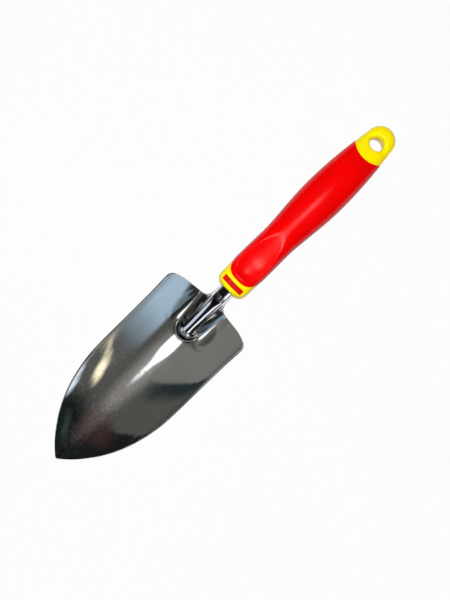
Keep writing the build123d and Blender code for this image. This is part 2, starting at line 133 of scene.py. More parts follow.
# ------------------------------------------------------------------ curves
def spline(xs, ys, start_slope=None, end_slope=None):
    """Cubic spline held at its ends; an end without a slope has no curvature."""
    xs, ys = np.asarray(xs, float), np.asarray(ys, float)
    count = len(xs)
    gaps = np.diff(xs)
    system = np.zeros((count, count))
    target = np.zeros(count)
    system[0, 0] = system[-1, -1] = 1.0
    for i in range(1, count - 1):
        system[i, i - 1:i + 2] = gaps[i - 1], 2 * (gaps[i - 1] + gaps[i]), gaps[i]
        target[i] = 6 * ((ys[i + 1] - ys[i]) / gaps[i] - (ys[i] - ys[i - 1]) / gaps[i - 1])
    if start_slope is not None:
        system[0, :2] = 2 * gaps[0], gaps[0]
        target[0] = 6 * ((ys[1] - ys[0]) / gaps[0] - start_slope)
    if end_slope is not None:
        system[-1, -2:] = gaps[-1], 2 * gaps[-1]
        target[-1] = 6 * (end_slope - (ys[-1] - ys[-2]) / gaps[-1])
    bend = np.linalg.solve(system, target)

    def evaluate(x):
        x = np.clip(np.asarray(x, float), xs[0], xs[-1])
        k = np.clip(np.searchsorted(xs, x) - 1, 0, count - 2)
        done, left, gap = x - xs[k], xs[k + 1] - x, gaps[k]
        return ((bend[k] * left**3 + bend[k + 1] * done**3) / (6 * gap)
                + (ys[k] / gap - bend[k] * gap / 6) * left
                + (ys[k + 1] / gap - bend[k + 1] * gap / 6) * done)
    return evaluate


def ease(t):
    """Smooth step from 0 to 1."""
    t = np.clip(t, 0.0, 1.0)
    return t * t * t * (t * (6 * t - 15) + 10)


def smooth_max(first, second, reach):
    near = np.maximum(reach - np.abs(first - second), 0.0) / reach
    return np.maximum(first, second) + near * near * reach / 4


def smooth_min(first, second, reach):
    return -smooth_max(-first, -second, reach)


def run_length(first, second):
    """Length run along a polyline, at each of its points."""
    return np.concatenate([[0], np.cumsum(np.hypot(np.diff(first), np.diff(second)))])


# ------------------------------------------------------------------ upper face of the sheet
def neck_line(x):
    return HANDLE_Z0 + NECK_TOP / PITCH_COS - (x - HANDLE_X0) * PITCH_TAN


# Crown of the rib on the centre line, (x, z).
CROWN = [(-60.0, 0.3), (-48.0, 2.8), (-42.0, 4.8), (-38.0, 6.7), (-34.0, 9.1), (-30.0, 11.7),
         (-26.0, 14.3), (-21.0, 17.5), (-16.0, 20.7), (-11.0, 23.8), (-7.0, 26.1),
         (-3.0, 27.75), (NECK_FROM, neck_line(NECK_FROM))]
# Steepness of the rib's flanks, (x, slope), and radius of its crown, (x, radius).
FLANK_SLOPE = [(-48.0, 1.1), (-38.0, 1.15), (-34.0, 1.3), (-30.0, 1.6), (-25.0, 2.0),
               (-19.0, 2.45), (-14.0, 2.7), (-9.3, 2.85), (0.0, 3.35), (6.0, 3.7), (14.0, 3.8)]
CROWN_RADIUS = [(-48.0, 5.8), (-38.0, 5.9), (-30.0, 6.0), (-20.0, 6.2), (-9.3, 6.4),
                (0.0, 6.5), (14.0, 6.5)]
CROWN_START_SLOPE = 0.2
CROWN_MIN_X = -44.0         # the crown keeps this place's height further towards the tip
RIB_END = -36.8             # centre of the rib's rounded front end
RIB_FILLET = 3.8
# The shallow hollows either side of the rib: centre, reach and depth.
DIMPLE_X, DIMPLE_Y = -23.0, 14.2
DIMPLE_REACH_X, DIMPLE_REACH_Y = 22.0, 7.4
DIMPLE_DEPTH = 0.62

crown_curve = spline(*zip(*CROWN), CROWN_START_SLOPE, -PITCH_TAN)
flank_slope = spline(*zip(*FLANK_SLOPE))
crown_radius = spline(*zip(*CROWN_RADIUS))


def crown(x):
    return np.where(x > NECK_FROM, neck_line(x), crown_curve(x))


def trough(x, y):
    lift = np.maximum(0.0, TIP_LIFT_FROM - x) / TIP_LIFT_REACH
    y = np.clip(np.abs(y), 0, TROUGH_MAX_Y)
    return (SPINE_Z + TIP_LIFT * lift**TIP_LIFT_POWER
            + TROUGH_RADIUS - np.sqrt(TROUGH_RADIUS**2 - y * y))


def dimple(x, y):
    distance = np.hypot((x - DIMPLE_X) / DIMPLE_REACH_X, (np.abs(y) - DIMPLE_Y) / DIMPLE_REACH_Y)
    return DIMPLE_DEPTH * ease(1 - distance)


def sheet_top(x, y):
    """Upper face of the steel sheet as a height over (x, y)."""
    x, y = np.broadcast_arrays(np.asarray(x, float), np.asarray(y, float))
    slope, radius = flank_slope(x), crown_radius(x)
    angle = np.arctan(slope)
    out = np.hypot(np.minimum(x - RIB_END, 0.0), y)
    round_to = radius * np.sin(angle)       # the round crown ends here, the flank begins
    drop = np.where(
        out < round_to,
        radius - np.sqrt(np.maximum(radius * radius - np.minimum(out, round_to) ** 2, 0)),
        radius * (1 - np.cos(angle)) + (out - round_to) * slope)
    rib = crown(np.maximum(x, CROWN_MIN_X)) - drop
    return smooth_max(rib, trough(x, y) - dimple(x, y), RIB_FILLET)


def sheet_normal(x, y, step=0.02):
    slope_x = (sheet_top(x + step, y) - sheet_top(x - step, y)) / (2 * step)
    slope_y = (sheet_top(x, y + step) - sheet_top(x, y - step)) / (2 * step)
    normal = np.stack([-slope_x, -slope_y, np.ones_like(slope_x)], -1)
    return normal / np.linalg.norm(normal, axis=-1, keepdims=True)


# ------------------------------------------------------------------ meshes
def to_row(points):
    """Tool axes in mm to the row frame in metres."""
    points = np.array(points, float)
    points[..., 0] -= X_SHIFT
    return points / 1000.0


def handle_to_tool(a, y, c):
    return np.stack([HANDLE_X0 + a * PITCH_COS + c * PITCH_SIN, y,
                     HANDLE_Z0 - a * PITCH_SIN + c * PITCH_COS], -1)


def mesh_object(name, verts, faces, material, smooth=True):
    mesh = bpy.data.meshes.new(name)
    mesh.from_pydata([tuple(v) for v in verts], [], [tuple(int(k) for k in f) for f in faces])
    mesh.validate()
    mesh.update()
    if smooth:
        mesh.polygons.foreach_set("use_smooth", [True] * len(mesh.polygons))
    mesh.materials.append(material)
    ob = bpy.data.objects.new(name, mesh)
    bpy.context.scene.collection.objects.link(ob)
    return ob


def rectangle(name, half_size, z, material, centre=(0, 0)):
    """A level rectangle, in metres."""
    (sx, sy), (cx, cy) = half_size, centre
    corners = [(cx - sx, cy - sy, z), (cx + sx, cy - sy, z), (cx + sx, cy + sy, z),
               (cx - sx, cy + sy, z)]
    return mesh_object(name, corners, [(0, 1, 2, 3)], material, smooth=False)


def grid_quads(ids):
    return [(ids[i, j], ids[i, j + 1], ids[i + 1, j + 1], ids[i + 1, j])
            for i in range(ids.shape[0] - 1) for j in range(ids.shape[1] - 1)]


def bridge(first, second):
    """Quads between two closed rings of vertex numbers."""
    return np.stack([first, np.roll(first, -1), np.roll(second, -1), second], -1)


# ------------------------------------------------------------------ blade
STRIP_COLUMNS = 46          # columns from the centre line out, shared by scoop and neck
LEAN_FROM = -50.0           # from here the rows lean so that the last one meets the corner
TIP_BLEND = 7.0             # length over which rows flatten from the tip's arc
HEEL_BLEND_FROM = -30.0     # rows bend to the heel's curve from here, over this length
HEEL_BLEND = 20.7


def outline():
    """Dense half outline from the tip to the heel's inner end."""
    points = np.array(RIM + CORNER + HEEL)
    run = run_length(*points.T)
    dense = np.linspace(0, run[-1], 4000)
    return np.stack([spline(run, points[:, k])(dense) for k in (0, 1)], -1)


def even_columns(x, y_end):
    """y of STRIP_COLUMNS equal steps along the sheet's section at x."""
    y = np.linspace(0, y_end, 600)
    run = run_length(y, sheet_top(np.full_like(y, x), y))
    return np.interp(np.linspace(0, run[-1], STRIP_COLUMNS + 1), run, y)


def scoop_grid():
    """Plan of the scoop's +y half: rows from tip to heel, columns from centre line to rim."""
    edge = outline()
    tip_angle = math.atan2(edge[40, 1] - edge[10, 1], edge[40, 0] - edge[10, 0])
    arc_x = RIM[0][0] + TIP_RADIUS / math.sin(tip_angle)
    tip_x = arc_x - TIP_RADIUS * math.sin(tip_angle)
    tip_y = TIP_RADIUS * math.cos(tip_angle)
    edge = edge[edge[:, 1] > tip_y]
    split = int(np.argmin(np.hypot(*(edge - CORNER_SPLIT).T)))
    rim, heel = edge[:split + 1], edge[split:][::-1]
    corner_x, corner_y = rim[-1]

    mid_x = np.concatenate([tip_x + np.array([0, .35, .8, 1.4, 2.2, 3.2]),
                            np.linspace(tip_x + 4.6, -52, 74), np.linspace(-51, HEEL_X, 84)])
    lean = (corner_x - LEAN_FROM) / (HEEL_X - LEAN_FROM)
    rim_x = np.where(mid_x < LEAN_FROM, mid_x, LEAN_FROM + (mid_x - LEAN_FROM) * lean)
    rim_x[-1] = corner_x
    rim_y = np.interp(rim_x, rim[:, 0], rim[:, 1])
    rim_y[0] = tip_y

    strip_share = HEEL_Y / corner_y
    outer = np.concatenate([np.linspace(HEEL_Y, 20, 13)[1:],
                            np.linspace(20, corner_y, 25)[1:]]) / corner_y
    to_heel = ease((mid_x - HEEL_BLEND_FROM) / HEEL_BLEND)
    to_tip = ease(1 - (mid_x - tip_x) / TIP_BLEND)
    shape = (len(mid_x), STRIP_COLUMNS + len(outer) + 1)
    grid = np.zeros((*shape, 2))
    near_rim = np.zeros(shape)
    for i in range(len(mid_x)):
        y = np.concatenate([even_columns(mid_x[i], strip_share * rim_y[i]), outer * rim_y[i]])
        share = y / rim_y[i]
        out = ease((share - strip_share) / (1 - strip_share))
        heel_x = np.where(share <= strip_share, HEEL_X,
                          np.interp(np.maximum(share * corner_y, HEEL_Y), heel[:, 1], heel[:, 0]))
        last_x = mid_x[-1] + (corner_x - mid_x[-1]) * out
        tip_arc = arc_x - np.sqrt(np.maximum(TIP_RADIUS**2 - (share * tip_y) ** 2, 0))
        x = mid_x[i] + (rim_x[i] - mid_x[i]) * out
        x = x + to_heel[i] * (heel_x - last_x) + to_tip[i] * (tip_arc - tip_x)
        grid[i, :, 0], grid[i, :, 1] = x, y
        near_rim[i] = out
    grid[-1, -1] = rim[-1]
    # the outline bounds the lower face, so the upper face moves in by the sheet's thickness
    inward = sheet_normal(grid[..., 0], grid[..., 1])[..., :2]
    return grid + SHEET * inward * near_rim[..., None]


def neck_grid():
    """Plan of the +y half of the neck and tang, rows from the heel to the tang's end."""
    sweep = np.array(SWEEP)
    run = run_length(*sweep.T)
    dense = np.linspace(0, run[-1], 46)[1:]
    straight = np.concatenate([np.linspace(5.6, 12, 10),
                               np.linspace(15, HANDLE_X0 + TANG_A * PITCH_COS, 20)])
    row_x = np.concatenate([spline(run, sweep[:, 0], *SWEEP_SLOPES_X)(dense), straight])
    side_y = np.concatenate([spline(run, sweep[:, 1], *SWEEP_SLOPES_Y)(dense),
                             np.full(len(straight), NECK_HALF_WIDTH)])
    grid = np.zeros((len(row_x), STRIP_COLUMNS + 1, 2))
    for i, x in enumerate(row_x):
        grid[i, :, 0] = x
        grid[i, :, 1] = even_columns(x, side_y[i])
    return grid


def mirrored(grid):
    other = grid[:, :0:-1].copy()
    other[..., 1] *= -1
    return np.concatenate([other, grid], 1)


def build_blade():
    scoop, neck = mirrored(scoop_grid()), mirrored(neck_grid())
    plan = np.concatenate([scoop.reshape(-1, 2), neck.reshape(-1, 2)])
    x, y = plan.T
    top = np.stack([x, y, sheet_top(x, y)], -1)
    normals = sheet_normal(x, y)

    scoop_count = scoop.shape[0] * scoop.shape[1]
    scoop_ids = np.arange(scoop_count).reshape(scoop.shape[:2])
    neck_ids = np.arange(scoop_count, len(top)).reshape(neck.shape[:2])
    wide = neck.shape[1]
    skip = (scoop.shape[1] - wide) // 2     # heel columns outside the neck, each side
    seam = np.stack([scoop_ids[-1, skip:skip + wide], neck_ids[0]])
    # the seam's quads start from the scoop's last row
    quads = np.array(grid_quads(scoop_ids) + grid_quads(seam) + grid_quads(neck_ids))

    # the piece's boundary, once round from the tip
    sides = [scoop_ids[0, :], scoop_ids[1:, -1], scoop_ids[-1, -2:skip + wide - 2:-1],
             neck_ids[:, -1], neck_ids[-1, -2::-1], neck_ids[-2::-1, 0],
             scoop_ids[-1, skip:0:-1], scoop_ids[::-1, 0][:-1]]
    loop = np.array(list(dict.fromkeys(np.concatenate(sides).tolist())))
    edge, edge_normals = top[loop], normals[loop]
    tangent = np.roll(edge, -1, 0) - np.roll(edge, 1, 0)
    tangent /= np.linalg.norm(tangent, axis=1, keepdims=True)
    outward = np.cross(edge_normals, tangent)
    outward /= np.linalg.norm(outward, axis=1, keepdims=True)
    top[loop] -= EDGE_BULGE * outward

    verts = [top, top - SHEET * normals]
    rings = [loop]
    used = 2 * len(top)
    for angle in np.radians(EDGE_ANGLES):
        verts.append(top[loop] - edge_normals * (SHEET / 2) * (1 - math.cos(angle))
                     + outward * EDGE_BULGE * math.sin(angle) ** 0.75)
        rings.append(np.arange(len(loop)) + used)
        used += len(loop)
    rings.append(loop + len(top))
    faces = [quads[:, ::-1], quads + len(top)]
    faces += [bridge(upper, lower) for upper, lower in zip(rings[:-1], rings[1:])]
    return mesh_object("blade_pressed", to_row(np.concatenate(verts)), np.concatenate(faces),
                       plated_steel())


# ------------------------------------------------------------------ grip
handle_columns = np.array(HANDLE).T
handle_curves = [spline(handle_columns[0], column) for column in handle_columns[1:]]
dish_height = spline(*zip(*DISH))


def section(a, inset):
    """Evenly spaced (y, c) points round the handle at a, starting at the +y side."""
    width, above, below, exponent = (float(curve(a)) for curve in handle_curves)
    angles = np.linspace(0, math.pi, 1201)
    cosine, sine = np.cos(angles), np.sin(angles)
    points = []
    for height, side in ((above - inset, 1), (inset - below, -1)):
        y = (width - inset) * side * np.sign(cosine) * np.abs(cosine) ** (2 / exponent)
        c = height * np.abs(sine) ** (2 / exponent)
        run = run_length(y, c)
        even = np.linspace(0, run[-1], GRIP_POINTS // 2 + 1)[:-1]
        points.append(np.stack([np.interp(even, run, y), np.interp(even, run, c)], -1))
    return np.concatenate(points)


def section_table(inset):
    stations = np.arange(GRIP_SPAN[0], GRIP_SPAN[1] + GRIP_STEP / 2, GRIP_STEP)
    return np.stack([section(a, inset) for a in stations])


def sample(table, a):
    """Points of the table at distances a, one for each point round the section."""
    place = np.clip((a - GRIP_SPAN[0]) / GRIP_STEP, 1, len(table) - 2.001)
    k = np.floor(place).astype(int)
    t = (place - k)[..., None]
    column = np.arange(GRIP_POINTS)
    p0, p1, p2, p3 = (table[k + shift, column] for shift in (-1, 0, 1, 2))
    return 0.5 * ((2 * p1) + (-p0 + p2) * t + (2 * p0 - 5 * p1 + 4 * p2 - p3) * t**2
                  + (-p0 + 3 * p1 - 3 * p2 + p3) * t**3)


def front_edge(c):
    """The cover's front edge: it slants, and curves further below the axis."""
    below = np.minimum(c, 0.0)
    return 26.2 - 1.45 * c - 0.067 * below * below


def dished(table, a, under, blend):
    """A ring of (a, y, c) points, its upper side cut by the dish lowered by under."""
    y, c = sample(table, a).T
    dish = dish_height(a) + DISH_CURL * y * y - under
    return np.stack([a, y, np.where(c > 0, smooth_min(c, dish, blend), c)], -1)


def lip(ring, direction):
    """Rings that round an end of the cover over and turn it inwards."""
    tangent = np.roll(ring, -1, 0) - np.roll(ring, 1, 0)
    normal = np.stack([np.zeros(len(ring)), tangent[:, 2], -tangent[:, 1]], -1)
    normal /= np.linalg.norm(normal, axis=-1, keepdims=True)
    rings = []
    for angle in np.radians([30, 60, 90]):
        turned = ring.copy()
        turned[:, 0] += direction * GRIP_LIP * math.sin(angle)
        turned -= normal * GRIP_LIP * (1 - math.cos(angle))
        rings.append(turned)
    rings.append(rings[-1] - normal * GRIP_FOLD)
    return rings


def build_grip():
    outer_table, inner_table = section_table(0.0), section_table(GRIP_WALL)
    front = np.full(GRIP_POINTS, 15.0)
    back = np.full(GRIP_POINTS, 145.0)
    for _ in range(60):     # the ends lie on the surface whose shape sets them: settle both
        front = 0.5 * front + 0.5 * front_edge(sample(outer_table, front)[:, 1])
        seam_y = np.clip(sample(outer_table, back)[:, 0], -EYE_SEAM_MAX_Y, EYE_SEAM_MAX_Y)
        back = EYE_SEAM_A - np.sqrt(EYE_SEAM_RADIUS**2 - seam_y**2)
    length = back - front - 2 * GRIP_LIP
    shares = np.linspace(0, 1, GRIP_ROWS)
    outer = [dished(outer_table, front + GRIP_LIP + length * share, under=0.0, blend=0.7)
             for share in shares]
    inner_shares = shares[::3]
    inner = [dished(inner_table,
                    front + GRIP_LIP + INNER_SETBACK
                    + (length - 2 * INNER_SETBACK) * share / inner_shares[-1],
                    under=SEAT_WALL, blend=1.5)
             for share in inner_shares]
    rings = np.array(lip(outer[0], -1)[::-1] + outer + lip(outer[-1], 1) + inner[::-1])
    verts = handle_to_tool(rings[..., 0], rings[..., 1], rings[..., 2]).reshape(-1, 3)
    ids = np.arange(len(verts)).reshape(len(rings), GRIP_POINTS)
    faces = np.concatenate([bridge(ids[i], ids[(i + 1) % len(ids)]) for i in range(len(ids))])
    return mesh_object("grip_soft_cover", to_row(verts), faces[:, ::-1], soft_red_rubber())


# ------------------------------------------------------------------ shader helper
class ShaderTree:
    """Builds the nodes of a material or world; node methods give output sockets."""

    def __init__(self, owner):
        self.owner = owner
        owner.use_nodes = True
        self.tree = owner.node_tree
        self.tree.nodes.clear()

    def put(self, socket, value):
        if isinstance(value, bpy.types.NodeSocket):
            self.tree.links.new(value, socket)
        elif socket.type == "RGBA":
            socket.default_value = (*value, 1.0)
        else:
            socket.default_value = value

    def node(self, kind, inputs=None, **settings):
        """Adds a node; inputs maps socket names or numbers to sockets or values."""
        node = self.tree.nodes.new("ShaderNode" + kind)
        for key, value in settings.items():
            setattr(node, key, value)
        for key, value in (inputs or {}).items():
            self.put(node.inputs[key], value)
        return node.outputs

    def math(self, operation, first, second=0.0):
        return self.node("Math", {0: first, 1: second}, operation=operation)[0]

    def product(self, first, *others):
        for other in others:
            first = self.math("MULTIPLY", first, other)
        return first

    def add(self, first, *others):
        for other in others:
            first = self.math("ADD", first, other)
        return first

    def minus(self, first, second):
        return self.math("SUBTRACT", first, second)

    def divide(self, first, second):
        return self.math("DIVIDE", first, second)

    def radius(self, first, second):
        squares = self.product(first, first), self.product(second, second)
        return self.math("SQRT", self.add(*squares))

    def oval_radius(self, x, y, centre, reach):
        """Distance from a centre, 1 on the oval of the given reach."""
        return self.radius(self.divide(self.minus(x, centre[0]), reach[0]),
                           self.divide(self.minus(y, centre[1]), reach[1]))

    def vector(self, operation, first, second):
        return self.node("VectorMath", {0: first, 1: second}, operation=operation)[0]

    def length(self, vector):
        return self.node("VectorMath", {0: vector}, operation="LENGTH")["Value"]

    def ramp(self, value, over, to=(0.0, 1.0)):
        """Smooth step: the value runs over one span, the result over the other."""
        return self.node("MapRange", {"Value": value, "From Min": over[0], "From Max": over[1],
                                      "To Min": to[0], "To Max": to[1]},
                         interpolation_type="SMOOTHSTEP")[0]

    def mix(self, base, toward, amount):
        return self.node("Mix", {0: amount, 6: base, 7: toward}, data_type="RGBA",
                         blend_type="MIX", clamp_factor=True)[2]

    def tint(self, pattern, low, high, over=(0.3, 0.7)):
        """Colour that follows a pattern."""
        return self.mix(low, high, self.ramp(pattern, over))

    def noise(self, vector, scale, detail=2.0, roughness=0.5, output=0):
        return self.node("TexNoise", {"Vector": vector, "Scale": scale, "Detail": detail,
                                      "Roughness": roughness})[output]

    def mapped(self, vector, scale, turn=0.0):
        return self.node("Mapping", {"Vector": vector, "Scale": scale,
                                     "Rotation": (0, 0, turn)})[0]

    def bump(self, height, strength, distance, normal=None):
        inputs = {"Strength": strength, "Distance": distance, "Height": height}
        if normal is not None:
            inputs["Normal"] = normal
        return self.node("Bump", inputs)[0]

    def coords(self):
        return self.node("TexCoord")["Object"]

    def xyz(self, vector):
        return self.node("SeparateXYZ", {"Vector": vector})

    def emission(self, colour, strength=1.0):
        return self.node("Emission", {"Color": colour, "Strength": strength})[0]

    def principled(self, colour, roughness, **others):
        inputs = {"Base Color": colour, "Roughness": roughness}
        inputs.update((key.replace("_", " "), value) for key, value in others.items())
        return self.node("BsdfPrincipled", inputs)[0]

    def mix_shader(self, base, toward, amount):
        return self.node("MixShader", {0: amount, 1: base, 2: toward})[0]

    def output(self, shader, kind="OutputMaterial"):
        self.node(kind, {"Surface": shader})
        return self.owner


def material_tree(name):
    return ShaderTree(bpy.data.materials.new(name))


# ------------------------------------------------------------------ materials (metres, row frame)
WHITE = (1.0, 1.0, 1.0)


def plated_steel():
    tree = material_tree("plated_steel")
    coords = tree.coords()
    place = tree.xyz(coords)
    x, y = place["X"], place["Y"]
    abs_y = tree.math("ABSOLUTE", y)

    # polishing lines along the blade, two sets of scratches, speckle and broad waves
    lines = tree.noise(tree.mapped(coords, scale=(35, 900, 300)), scale=1.0, detail=3.0,
                       roughness=0.6)
    scratch_a = tree.noise(tree.mapped(coords, scale=(2600, 150, 150), turn=0.55), scale=1.0,
                           roughness=0.6)
    scratch_b = tree.noise(tree.mapped(coords, scale=(2200, 120, 120), turn=-0.9), scale=1.0,
                           roughness=0.6)
    scratches = tree.math("MAXIMUM", tree.ramp(scratch_a, over=(0.66, 0.76)),
                          tree.ramp(scratch_b, over=(0.67, 0.77)))
    speck = tree.ramp(tree.noise(coords, scale=900, detail=3.0, roughness=0.65),
                      over=(0.63, 0.73))
    grit = tree.ramp(tree.noise(coords, scale=2300, roughness=0.6), over=(0.62, 0.74))
    patch = tree.noise(coords, scale=28, detail=3.0, roughness=0.55)
    wave = tree.noise(coords, scale=20, roughness=0.45)

    # wear grows towards the tip and the centre line, and eases at the very tip
    worn = tree.product(tree.ramp(x, over=(-0.045, -0.12)),
                        tree.ramp(abs_y, over=(0.026, 0.004), to=(0.10, 1.0)),
                        tree.ramp(x, over=(-0.150, -0.118), to=(0.40, 1.0)))
    rough = tree.add(tree.ramp(patch, over=(0.35, 0.7), to=(0.028, 0.055)),
                     tree.product(worn, 0.03),
                     tree.product(scratches, worn, 0.22),
                     tree.product(speck, worn, 0.34))
    colour = tree.tint(patch, low=(0.90, 0.90, 0.905), high=(0.84, 0.84, 0.85),
                       over=(0.3, 0.75))
    colour = tree.mix(colour, toward=(0.45, 0.42, 0.40), amount=tree.product(grit, worn, 0.30))

    # painted shade: a dark half ring round the rib's front end, in the crease where the rib meets
    # the scoop
    rib_x = tree.minus(x, (RIB_END - X_SHIFT) / 1000.0)
    ripple = tree.product(tree.minus(tree.noise(coords, scale=260), 0.5), 0.0012)
    ring = tree.add(tree.radius(rib_x, abs_y), ripple)
    crease_shade = tree.product(tree.ramp(ring, over=(0.0104, 0.0082)),
                        tree.ramp(ring, over=(0.0035, 0.0052)),
                        tree.ramp(rib_x, over=(0.0035, -0.0015)))
    colour = tree.mix(colour, toward=(0.03, 0.03, 0.035), amount=tree.product(crease_shade, 0.90))

    # shade in the hollows beside the rib, with a further oval on the +y side
    both = tree.oval_radius(x, abs_y, centre=(-0.0310, 0.0108), reach=(0.0125, 0.0094))
    left = tree.oval_radius(x, y, centre=(-0.0205, 0.0168), reach=(0.0200, 0.0052))
    shade = tree.product(tree.ramp(both, over=(1.0, 0.74)),
                         tree.ramp(abs_y, over=(0.0115, 0.0165), to=(0.0, 0.80)))
    shade = tree.math("MAXIMUM", shade, tree.ramp(left, over=(1.15, 0.35), to=(0.0, 0.85)))
    colour = tree.mix(colour, toward=(0.20, 0.20, 0.19), amount=shade)

    # painted shade on the rib's flanks, and a painted dark reflection along its crest
    flank = tree.product(tree.ramp(abs_y, over=(0.0050, 0.0066)),
                         tree.ramp(abs_y, over=(0.0112, 0.0096)),
                         tree.ramp(x, over=(-0.036, -0.028), to=(0.0, 0.80)))
    crest = tree.product(tree.ramp(x, over=(-0.0125, -0.0085)),
                         tree.ramp(y, over=(-0.0030, -0.0018)),
                         tree.ramp(y, over=(0.0042, 0.0034)), 0.9)
    colour = tree.mix(colour, toward=(0.10, 0.105, 0.11), amount=flank)
    colour = tree.mix(colour, toward=(0.15, 0.13, 0.16), amount=crest)

    # the cut edge along the rim and at the tip is dark and dull
    normal_z = tree.xyz(tree.node("NewGeometry")["Normal"])["Z"]
    side = tree.ramp(tree.math("ABSOLUTE", normal_z), over=(0.84, 0.70))
    rim_cut = tree.product(side, tree.ramp(x, over=(-0.012, -0.016)),
                           tree.ramp(abs_y, over=(0.014, 0.017)))
    tip_cut = tree.product(side, tree.ramp(x, over=(-0.155, -0.162)))
    cut = tree.math("MAXIMUM", rim_cut, tip_cut)
    colour = tree.mix(colour, toward=(0.045, 0.048, 0.050), amount=cut)
    rough = tree.add(rough, tree.product(cut, 0.30))

    bump = tree.bump(wave, strength=0.30, distance=0.0005)
    bump = tree.bump(lines, strength=0.04, distance=0.00008, normal=bump)
    bump = tree.bump(tree.product(scratches, worn), strength=0.30, distance=-0.00010,
                     normal=bump)
    bump = tree.bump(tree.product(speck, worn), strength=0.5, distance=0.00020, normal=bump)
    steel = tree.principled(colour, rough, Metallic=1.0, Normal=bump)

    # painted reflection: where the scoop mirrors the rib, the rib glows with an even tone on each
    # side instead of showing its steel
    tone = tree.tint(y, low=(0.150, 0.148, 0.138), high=(0.085, 0.088, 0.084),
                     over=(-0.001, 0.001))
    painted_rib_reflection = tree.product(tree.ramp(tree.node("LightPath")["Glossy Depth"],
                                          over=(0.4, 0.6)),
                                tree.ramp(abs_y, over=(0.0085, 0.0072)),
                                tree.ramp(x, over=(-0.026, -0.022)))
    return tree.output(tree.mix_shader(steel, toward=tree.emission(tone), amount=painted_rib_reflection))


def soft_red_rubber():
    tree = material_tree("soft_red_rubber")
    coords = tree.coords()
    grain = tree.noise(coords, scale=2600, roughness=0.6)
    pore = tree.noise(coords, scale=900, detail=3.0, roughness=0.6)
    cloud = tree.noise(coords, scale=45, detail=3.0)
    colour = tree.tint(cloud, low=(0.82, 0.0, 0.0003), high=(0.75, 0.0, 0.0))
    colour = tree.mix(colour, toward=(0.5, 0.0, 0.0),
                      amount=tree.ramp(pore, over=(0.62, 0.8), to=(0.0, 0.25)))
    rough = tree.ramp(cloud, over=(0.3, 0.7), to=(0.19, 0.24))
    bump = tree.bump(grain, strength=0.10, distance=0.00005)
    bump = tree.bump(pore, strength=0.06, distance=0.00008, normal=bump)
    return tree.output(tree.principled(colour, rough, Normal=bump, Specular_IOR_Level=0.20))


def hard_yellow_plastic():
    tree = material_tree("hard_yellow_plastic")
    coords = tree.coords()
    cloud = tree.noise(coords, scale=60, detail=3.0)
    colour = tree.tint(cloud, low=(1.0, 0.82, 0.0), high=(0.97, 0.76, 0.0))
    rough = tree.ramp(cloud, over=(0.3, 0.7), to=(0.22, 0.32))
    bump = tree.bump(tree.noise(coords, scale=1400), strength=0.05, distance=0.00004)
    return tree.output(tree.principled(colour, rough, Normal=bump, Specular_IOR_Level=0.22))


def plain_red_film():
    tree = material_tree("plain_red_film")
    coords = tree.coords()
    cloud = tree.noise(coords, scale=120, detail=3.0)
    fine = tree.noise(coords, scale=2200)
    colour = tree.tint(cloud, low=(0.62, 0.004, 0.004), high=(0.55, 0.002, 0.002))
    rough = tree.ramp(fine, over=(0.3, 0.7), to=(0.28, 0.40))
    bump = tree.bump(fine, strength=0.05, distance=0.00003)
    return tree.output(tree.principled(colour, rough, Normal=bump))


def drawn_steel():
    tree = material_tree("drawn_steel")
    lines = tree.noise(tree.mapped(tree.coords(), scale=(400, 60, 400)), scale=1.0, detail=3.0,
                       roughness=0.6)
    colour = tree.tint(lines, low=(0.50, 0.50, 0.52), high=(0.62, 0.61, 0.60))
    rough = tree.ramp(lines, over=(0.3, 0.7), to=(0.28, 0.45))
    bump = tree.bump(lines, strength=0.2, distance=0.00005)
    return tree.output(tree.principled(colour, rough, Metallic=1.0, Normal=bump))


def pale_floor():
    """Grey to light, nearly white to the camera, fading with distance in mirrors."""
    tree = material_tree("pale_floor")
    coords = tree.coords()
    rays = tree.node("LightPath")
    colour = tree.tint(tree.noise(coords, scale=6, detail=3.0), low=(0.42, 0.42, 0.42),
                       high=(0.39, 0.39, 0.39))
    fade = tree.ramp(tree.length(coords), over=(0.30, 0.75), to=(1.0, 0.03))
    floor_shader = tree.mix_shader(tree.principled(colour, roughness=0.8),
                                   toward=tree.emission((0.92, 0.93, 0.95), fade),
                                   amount=rays["Is Glossy Ray"])
    floor_shader = tree.mix_shader(floor_shader, toward=tree.emission(WHITE),
                                   amount=tree.product(rays["Is Camera Ray"], 0.96))
    from_below = tree.product(tree.node("NewGeometry")["Backfacing"], rays["Is Camera Ray"])
    return tree.output(tree.mix_shader(floor_shader, toward=tree.node("BsdfTransparent")[0],
                                       amount=from_below))


# ------------------------------------------------------------------ pieces
for piece, replaced, slot_name in ((build_blade(), "blade", "blade_steel"),
                                   (build_grip(), "grip", "grip_soft")):
    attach(piece, "root")
    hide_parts(replaced)
blade, grip = bpy.data.objects["blade_pressed"], bpy.data.objects["grip_soft_cover"]

for node_name, build_material in (("handle_core", hard_yellow_plastic),
                                  ("collar_label", plain_red_film),
                                  ("tang_pin", drawn_steel)):
    slots = frame["nodes"][node_name].data.materials
    slots.clear()
    slots.append(build_material())

# ------------------------------------------------------------------ light panel
# What the polished steel mirrors. The layout is drawn in the scoop's plan units (u along, v
# across; v > 0 towards the scoop's -y side): the panel point that each plan point mirrors is
# close to an arctangent across the trough.
PANEL_ARC_REACH = 127.0     # mm across the panel for 45 degrees of that arctangent
PANEL_ARC_SCALE = 36.8      # plan units per radian
PANEL_SQUEEZE_FROM = 20.0   # |v| past which u is squeezed, the width over which it grows,
PANEL_SQUEEZE_WIDTH = 26.0
PANEL_SQUEEZE = 0.24        # and the squeeze there
PANEL_BOW_WIDTH = 46.0      # |v| at which lines of equal u have bowed
PANEL_BOW = 8.0             # by this much
PANEL_U_MIDDLE = 26.0       # offsets of u before and after the squeeze
PANEL_U_OFFSET = 10.0
PANEL_STRETCH_FROM = 80.0   # u is stretched below minus this,
PANEL_STRETCH = 0.515       # by this share
BAND_CURVE = 0.012          # the long dark band's near edge: u = curve v^2 + slant v + start
BAND_SLANT = 0.25
